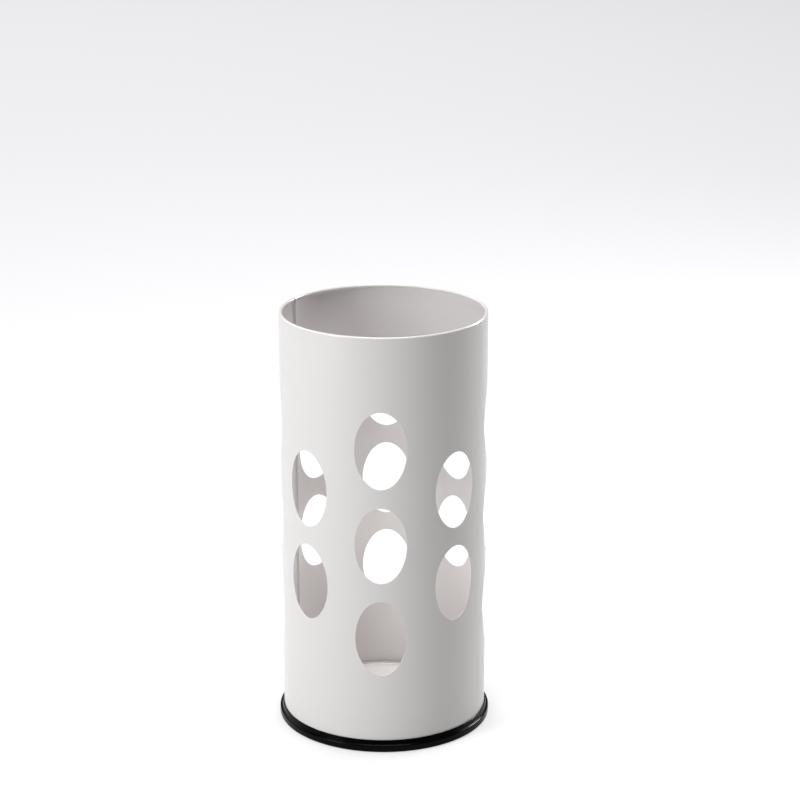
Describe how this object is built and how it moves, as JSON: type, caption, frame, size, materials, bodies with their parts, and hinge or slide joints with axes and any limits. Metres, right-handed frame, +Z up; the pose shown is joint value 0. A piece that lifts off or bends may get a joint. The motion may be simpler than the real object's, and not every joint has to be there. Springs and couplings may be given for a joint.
{
  "type": "umbrella stand",
  "caption": "Free-standing round sheet-steel umbrella stand with staggered oval cut-outs, a curled rim, a lift-out drip tray and a black base ring.",
  "frame": {"origin": "centre of the round footprint, on the floor", "axes": "+Z up along the tube; the column of cut-outs that faces the front is at -Y; the folded seam is at the back left"},
  "size_m": [0.25, 0.25, 0.496],
  "materials": {
    "shell_paint": "satin powder coat, light warm grey",
    "plate_paint": "satin powder coat, light warm grey",
    "tray_paint": "satin powder coat, light warm grey",
    "ring_moulding": "glossy black moulding"
  },
  "bodies": {
    "stand": {"shell": "shell_paint", "bottom_plate": "plate_paint", "base_ring": "ring_moulding"},
    "tray": {"drip_tray": "tray_paint"}
  },
  "joints": [
    {"name": "tray_lift", "type": "slide", "parent": "stand", "child": "tray", "axis": [0, 0, 1], "range_m": [0, 0.5]}
  ]
}
